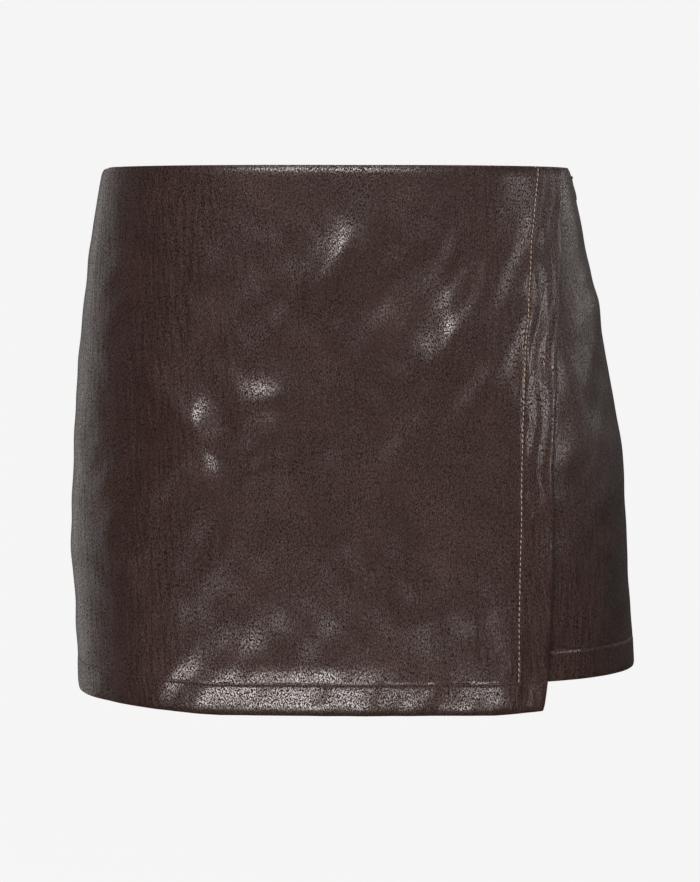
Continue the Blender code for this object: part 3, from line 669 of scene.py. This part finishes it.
def leather(name, look, offset):
    material, shader, wire = newMaterial(name)
    place = wire.node("ShaderNodeUVMap", {"uv_map": "cloth"})
    place = wire.node("ShaderNodeVectorMath", {"operation": "ADD"}, {0: place, 1: offset})

    def noise(vector, scale, detail, out=0):
        inputs = {"Vector": vector, "Scale": scale, "Detail": detail}
        return wire.node("ShaderNodeTexNoise", {"noise_dimensions": "2D"}, inputs, out)

    inputs = {0: noise(place, look["warps"], 1.0, 1), 1: [look["warp"]] * 3, 2: place}
    warped = wire.node("ShaderNodeVectorMath", {"operation": "MULTIPLY_ADD"}, inputs)

    def laid(turn, stretch):
        inputs = {"Vector": warped, "Rotation": (0, 0, radians(turn)), "Scale": stretch}
        return wire.node("ShaderNodeMapping", None, inputs)

    def pebbles(turn, stretch):   # 1 on a pebble's top, 0 between the pebbles
        grid = laid(turn, stretch)
        inputs = {"Vector": grid, "Scale": look["pebbles"]}
        cells = wire.node("ShaderNodeTexVoronoi", {"voronoi_dimensions": "2D"}, inputs)
        return 1.0 - (cells + noise(grid, look["streaks"], 1.0) * 0.5).ramp(0.42, 0.95)

    def creases(turn):   # long fine wrinkles
        return noise(laid(turn, look["creaseStretch"]), look["creases"], 2.0)

    patch = noise(place, look["patches"], 1.0).ramp(0.40, 0.60)
    here, there = look["grain"]
    height = pebbles(*here) * (1.0 - patch) + pebbles(*there) * patch
    here, there = look["creaseTurns"]
    wrinkled = bump(wire, creases(here) * (1.0 - patch) + creases(there) * patch, look["creaseDeep"])
    bumped = bump(wire, height, look["grainDeep"], wrinkled)
    tone = noise(place, look["tones"], 3.0)
    # darker between the pebbles than on their tops: painted shade in the grain's hollows
    tint = height.mix(look["valleyShade"], look["base"])
    tint = (tone.ramp(0.45, 0.75) * height * look["wear"]).mix(tint, look["worn"])
    low, high = look["rough"]
    roughness = low + (high - low) * tone.ramp(0.3, 0.7)
    low, high = look["polish"]
    polish = low + (high - low) * height.ramp(0.45, 1.0)
    link = wire.tree.links.new
    link(tint.socket, shader.inputs["Base Color"])
    link(roughness.socket, shader.inputs["Roughness"])
    link(polish.socket, shader.inputs["Coat Weight"])
    link(bumped.socket, shader.inputs["Normal"])
    shader.inputs["Specular IOR Level"].default_value = look["specular"]
    shader.inputs["Coat Roughness"].default_value = look["gloss"]
    return material


def bump(wire, height, deep, normal=None):
    inputs = {"Strength": 1.0, "Distance": deep, "Height": height}
    if normal:
        inputs["Normal"] = normal
    return wire.node("ShaderNodeBump", None, inputs)


def backing(name):   # the knitted backing on the cloth's inside
    material, shader, wire = newMaterial(name)
    place = wire.node("ShaderNodeUVMap", {"uv_map": "cloth"})
    inputs = {"Vector": place, "Scale": 260.0, "Distortion": 1.2, "Detail": 1.0, "Detail Scale": 2.0}
    ribs = wire.node("ShaderNodeTexWave", {"bands_direction": "X"}, inputs)
    inputs = {"Vector": place, "Scale": 330.0, "Distortion": 1.0}
    loops = wire.node("ShaderNodeTexWave", {"bands_direction": "Y"}, inputs)
    height = ribs * 0.6 + loops * 0.4
    tint = height.ramp(0.1, 0.9).mix(colour(42, 31, 27), colour(72, 56, 50))
    wire.tree.links.new(tint.socket, shader.inputs["Base Color"])
    bumped = bump(wire, height, 0.12 * mm)
    wire.tree.links.new(bumped.socket, shader.inputs["Normal"])
    shader.inputs["Roughness"].default_value = 0.85
    shader.inputs["Sheen Weight"].default_value = 0.15
    return material


def thread(name, tone):
    material, shader, wire = newMaterial(name)
    place = wire.node("ShaderNodeTexCoord", out=3)   # object coordinates
    twist = wire.node("ShaderNodeTexNoise", None, {"Vector": place, "Scale": 2600.0, "Detail": 2.0})
    tint = twist.mix(tuple(c * 0.6 for c in tone[:3]) + (1,), tone)
    wire.tree.links.new(tint.socket, shader.inputs["Base Color"])
    shader.inputs["Roughness"].default_value = 0.6
    return material


def tapeWeave(name):
    material, shader, wire = newMaterial(name)
    place = wire.node("ShaderNodeUVMap", {"uv_map": "cloth"})
    laid = wire.node("ShaderNodeMapping", None, {"Vector": place, "Rotation": (0, 0, radians(42))})
    inputs = {"Vector": laid, "Scale": 420.0, "Distortion": 0.6}
    twill = wire.node("ShaderNodeTexWave", {"bands_direction": "X"}, inputs)
    weft = wire.node("ShaderNodeTexWave", {"bands_direction": "Y"}, {"Vector": place, "Scale": 520.0})
    height = twill * 0.7 + weft * 0.3
    tint = height.mix(colour(30, 22, 20), colour(58, 45, 40))
    wire.tree.links.new(tint.socket, shader.inputs["Base Color"])
    bumped = bump(wire, height, 0.10 * mm)
    wire.tree.links.new(bumped.socket, shader.inputs["Normal"])
    shader.inputs["Roughness"].default_value = 0.8
    return material


def enamel(name):
    material, shader, wire = newMaterial(name)
    place = wire.node("ShaderNodeTexCoord", out=3)   # object coordinates
    speck = wire.node("ShaderNodeTexNoise", None, {"Vector": place, "Scale": 1500.0, "Detail": 3.0})
    smear = wire.node("ShaderNodeTexNoise", None, {"Vector": place, "Scale": 260.0, "Detail": 2.0})
    tint = speck.ramp(0.62, 0.74).mix(colour(58, 47, 44), colour(104, 96, 92))
    roughness = 0.28 + smear.ramp(0.35, 0.7) * 0.25
    wire.tree.links.new(tint.socket, shader.inputs["Base Color"])
    wire.tree.links.new(roughness.socket, shader.inputs["Roughness"])
    wire.tree.links.new(bump(wire, speck, 0.02 * mm).socket, shader.inputs["Normal"])
    shader.inputs["Metallic"].default_value = 0.35
    shader.inputs["Coat Weight"].default_value = 0.5
    return material


# sewing: one stitch is modelled and copied along a row
sewing = {
    "pitch": 3.45 * mm, "length": 2.5 * mm, "wide": 0.50 * mm, "deep": 0.42 * mm,
    "slant": 7, "sunk": 0.10 * mm,
    "hole": 0.42 * mm * 1.5, "holeDeep": 0.16 * mm, "holeOut": 0.02 * mm,
}


def modelBead(name, size, segments, rings):
    deselectAll()
    bpy.ops.mesh.primitive_uv_sphere_add(segments=segments, ring_count=rings, radius=0.5, scale=size)
    bpy.ops.object.transform_apply(location=True, rotation=True, scale=True)
    bpy.ops.object.shade_smooth()
    bead = bpy.context.object
    bead.name = name
    return bead


def layBeads(name, bead, frames, finish):   # one joined piece of a bead's copies
    copies = []
    for frame4 in frames:
        copy = bead.copy()
        copy.data = bead.data.copy()
        copy.data.transform(frame4)
        bpy.context.collection.objects.link(copy)
        copies.append(copy)
    deselectAll()
    for copy in copies:
        copy.select_set(True)
    bpy.context.view_layer.objects.active = copies[0]
    bpy.ops.object.join()
    row = bpy.context.object
    row.name = row.data.name = name
    row.data.materials.clear()
    row.data.materials.append(finish)
    return row


def alongPath(path, normals, pitch, start=0.5):   # evenly spaced places, directions and normals on a line
    steps = np.linalg.norm(np.diff(path, axis=0), axis=1)
    reach = np.r_[0, np.cumsum(steps)]
    made = []
    for d in np.arange(start * pitch, reach[-1], pitch):
        here = np.array([np.interp(d, reach, path[:, k]) for k in range(3)])
        ahead = np.array([np.interp(min(d + mm, reach[-1]), reach, path[:, k]) for k in range(3)])
        behind = np.array([np.interp(max(d - mm, 0), reach, path[:, k]) for k in range(3)])
        normal = np.array([np.interp(d, reach, normals[:, k]) for k in range(3)])
        made.append((Vector(here), Vector(ahead - behind).normalized(), Vector(normal).normalized()))
    return made


def beadFrame(place, along, out, lift, slant=0):
    across = out.cross(along).normalized()
    axes = Matrix((along, across, along.cross(across))).transposed().to_4x4()
    return Matrix.Translation(place + out * lift) @ axes @ Matrix.Rotation(radians(slant), 4, "Z")


def sewRow(name, path, normals, finish, holeShadeFinish):
    spots = alongPath(path, normals, sewing["pitch"])
    frames = [beadFrame(*spot, sewing["sunk"], sewing["slant"]) for spot in spots]
    stitch = modelBead("stitch", (sewing["length"], sewing["wide"], sewing["deep"]), 8, 6)
    row = layBeads(name, stitch, frames, finish)
    # near-black beads at the stitches' ends: painted shade of the needle holes
    ends = alongPath(path, normals, sewing["pitch"], 0.0)
    hole = modelBead("needleHole", (sewing["hole"], sewing["hole"], sewing["holeDeep"]), 8, 4)
    frames = [beadFrame(*spot, sewing["holeOut"]) for spot in ends]
    holes = layBeads(name + "Holes", hole, frames, holeShadeFinish)
    for old in (stitch, hole):
        bpy.data.objects.remove(old)
    for piece in (row, holes):
        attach(piece, "garment")


print("materials")
leathers = {
    "wrap": leather("wrapLeather", leatherLook, (0, 0, 0)),
    # the shorts get a copy of the leather with a weaker coat, so they look darker: painted shade, as if the
    # wrap shaded them
    "shorts": leather("shortsLeatherShaded", dict(leatherLook, polish=(0.0, 0.75)), (1.3, 0.7, 0)),
}
inside = backing("backing")
paleThread = thread("facingThread", colour(168, 150, 134))
darkThread = thread("hemThread", colour(52, 37, 31))
# near-black: painted shade inside the needle holes
holeShade = thread("needleHoleShade", colour(16, 9, 7))
tape = tapeWeave("tapeWeave")
enamelled = enamel("zipEnamel")

print("wrap")
points, places, thick, hemRow, facingColumn = wrapSurface()
wrapPiece = layPanel("wrapFront", points, places, thick, False, [leathers["wrap"], inside])
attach(wrapPiece, "garment")
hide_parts("wrap_front")
normals = gridNormals(points, 1)
down = slice(None, hemRow + 1), facingColumn          # beside the free edge
over = hemRow, slice(None, facingColumn + 1)          # above the hem
sewRow("facingStitches", points[down], normals[down], paleThread, holeShade)
sewRow("wrapHemStitches", points[over], normals[over], darkThread, holeShade)

print("shorts")
for side in (1, -1):
    panels, hemRow = shortsPanels(side)
    for name, node, part, partPlaces, partThick in panels:
        piece = layPanel(name, part, partPlaces, partThick, side < 0, [leathers["shorts"], inside])
        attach(piece, "garment")
        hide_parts(node)
        normals = gridNormals(part, side)
        sewRow(name + "HemStitches", part[hemRow], normals[hemRow], darkThread, holeShade)

print("zip")
zipLook = {
    "top": -9.5 * mm, "end": -0.185, "half": 9 * mm, "thick": 0.5 * mm,
    "under": 2.35 * mm,                          # from the shorts' face in to the tape
    "toothPitch": 1.3 * mm, "tooth": (2.6 * mm, 0.75 * mm, 0.9 * mm), "toothDeep": 0.3 * mm,
    "coils": (("coilFront", -0.6 * mm, 0.3), ("coilBack", 0.6 * mm, 0.8)),   # name, shift and first tooth
    "rows": 60, "columns": 13,
}


def zipStrip():   # points across and down the tape, and its outward normals
    heights = np.linspace(zipLook["top"], zipLook["end"], zipLook["rows"])[:, None]
    across = np.linspace(-1, 1, zipLook["columns"])[None] * zipLook["half"] / unitWide["outer"]
    u = shorts["seamTurn"][1] + across
    base = bodyPoint(u + 0 * heights, heights + 0 * u, 1)
    return base, gridNormals(base, 1)


base, normals = zipStrip()
strip = base - normals * zipLook["under"]
stripPlaces = np.stack([arcLength(base, 1), -arcLength(base, 0)], -1)
stripThick = zipLook["thick"] + 0 * strip[..., 0]
zipTapePiece = layPanel("zipTape", strip, stripPlaces, stripThick, False, [tape, tape])
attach(zipTapePiece, "garment")
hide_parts("zip_tape")
tooth = modelBead("tooth", zipLook["tooth"], 8, 5)
centre = zipLook["columns"] // 2
for name, shift, first in zipLook["coils"]:
    frames = []
    for place, along, out in alongPath(strip[:, centre], normals[:, centre], zipLook["toothPitch"], first):
        across = out.cross(along).normalized()
        deep = zipLook["thick"] + zipLook["toothDeep"]
        frames.append(beadFrame(place + across * shift, across, out, -deep))
    coil = layBeads(name, tooth, frames, enamelled)
    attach(coil, "garment")
bpy.data.objects.remove(tooth)
for node in ("zip_slider", "zip_pull"):
    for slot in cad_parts[node].material_slots:
        slot.material = enamelled

studio = {
    "floorZ": -1.15, "floor": 2.6, "radius": 4.8, "sweep": 1.5, "wall": 4.0,
    "sides": 96, "rings": 14,
    "paper": 0.1, "glow": 0.885,
    "lamps": (1.0, 0.95, 0.92), "air": 0.10,
}


def studioBowl():
    deselectAll()
    bpy.ops.mesh.primitive_circle_add(vertices=studio["sides"], radius=studio["floor"], fill_type="NGON",
                                      location=(0, 0, studio["floorZ"]))
    bowl = bpy.context.object
    bowl.name = bowl.data.name = "studioSweep"
    bpy.ops.object.mode_set(mode="EDIT")
    bpy.ops.mesh.select_all(action="SELECT")
    bpy.ops.mesh.region_to_loop()
    inner = studio["radius"] - studio["sweep"]
    turns = [k * quarter / studio["rings"] for k in range(studio["rings"] + 1)]
    rings = [(inner + studio["sweep"] * sin(t), studio["sweep"] * (1 - cos(t))) for t in turns]
    last = (studio["floor"], 0.0)
    for radius, up in rings + [(studio["radius"], studio["wall"])]:
        bpy.ops.mesh.extrude_edges_move(TRANSFORM_OT_translate={"value": (0, 0, up - last[1])})
        wider = radius / last[0]
        bpy.ops.transform.resize(value=(wider, wider, 1), center_override=(0, 0, 0))
        last = (radius, up)
    bpy.ops.mesh.select_all(action="SELECT")
    bpy.ops.mesh.normals_make_consistent(inside=True)
    bpy.ops.object.mode_set(mode="OBJECT")
    bpy.ops.object.transform_apply(location=True, rotation=True, scale=True)
    bpy.ops.object.shade_smooth()
    material, shader, wire = newMaterial("palePaper")
    shader.inputs["Base Color"].default_value = (*[studio["paper"]] * 3, 1)
    shader.inputs["Roughness"].default_value = 0.9
    shader.inputs["Specular IOR Level"].default_value = 0.0
    shader.inputs["Emission Color"].default_value = (1, 1, 1, 1)
    shader.inputs["Emission Strength"].default_value = studio["glow"]
    bowl.data.materials.append(material)
    bowl.visible_glossy = bowl.visible_diffuse = bowl.visible_shadow = False


def softbox(name, place, target, size, power, roll=0):   # metres, watts and degrees
    light = bpy.data.lights.new(name, "AREA")
    light.shape, light.size, light.size_y, light.energy = "RECTANGLE", *size, power
    light.color = studio["lamps"]
    lamp = bpy.data.objects.new(name, light)
    bpy.context.collection.objects.link(lamp)
    lamp.location = place
    facing = (Vector(target) - Vector(place)).to_track_quat("-Z", "Y").to_matrix()
    lamp.rotation_euler = (facing @ Matrix.Rotation(radians(roll), 3, "Z")).to_euler()
    lamp.visible_camera = False


print("stage")
studioBowl()
softbox("keySoftbox", (-0.20, -1.70, 1.50), (0, -0.11, -0.15), (0.9, 0.45), 59)
softbox("lowBounce", (-0.22, -1.25, -0.95), (-0.04, -0.11, -0.32), (0.80, 0.20), 23)
softbox("sideBar", (1.84, -0.84, 0.36), (0.12, -0.08, -0.12), (1.0, 0.14), 14, 20)
softbox("leftPanel", (-1.70, 1.50, -0.1), (-0.1, 0, -0.15), (1.9, 2.2), 12)
softbox("rightPanel", (1.85, 1.05, 0.42), (0.15, 0, -0.08), (1.3, 0.4), 5.5)
softbox("topPanel", (0, 0.5, 2.2), (0, 0, 0), (1.8, 1.2), 16)
softbox("rearSoftbox", (0.35, 2.0, 1.35), (0, 0.11, -0.15), (1.1, 0.5), 60)

world = bpy.data.worlds.new("studioAir")
bpy.context.scene.world = world
world.use_nodes = True
air = world.node_tree.nodes["Background"]
air.inputs["Color"].default_value = (1, 1, 1, 1)
air.inputs["Strength"].default_value = studio["air"]

view = {"from": (0.0093, -2.6, -0.0611), "aim": (0.0093, 0, -0.1753), "lens": 165.05, "sensor": 36}
camera = bpy.data.cameras.new("camera")
cameraObject = bpy.data.objects.new("camera", camera)
bpy.context.collection.objects.link(cameraObject)
camera.sensor_width = view["sensor"]
camera.lens = view["lens"]
cameraObject.location = view["from"]
aim = Vector(view["aim"]) - cameraObject.location
cameraObject.rotation_euler = aim.to_track_quat("-Z", "Y").to_euler()
bpy.context.scene.camera = cameraObject
bpy.context.scene.view_settings.view_transform = "Standard"
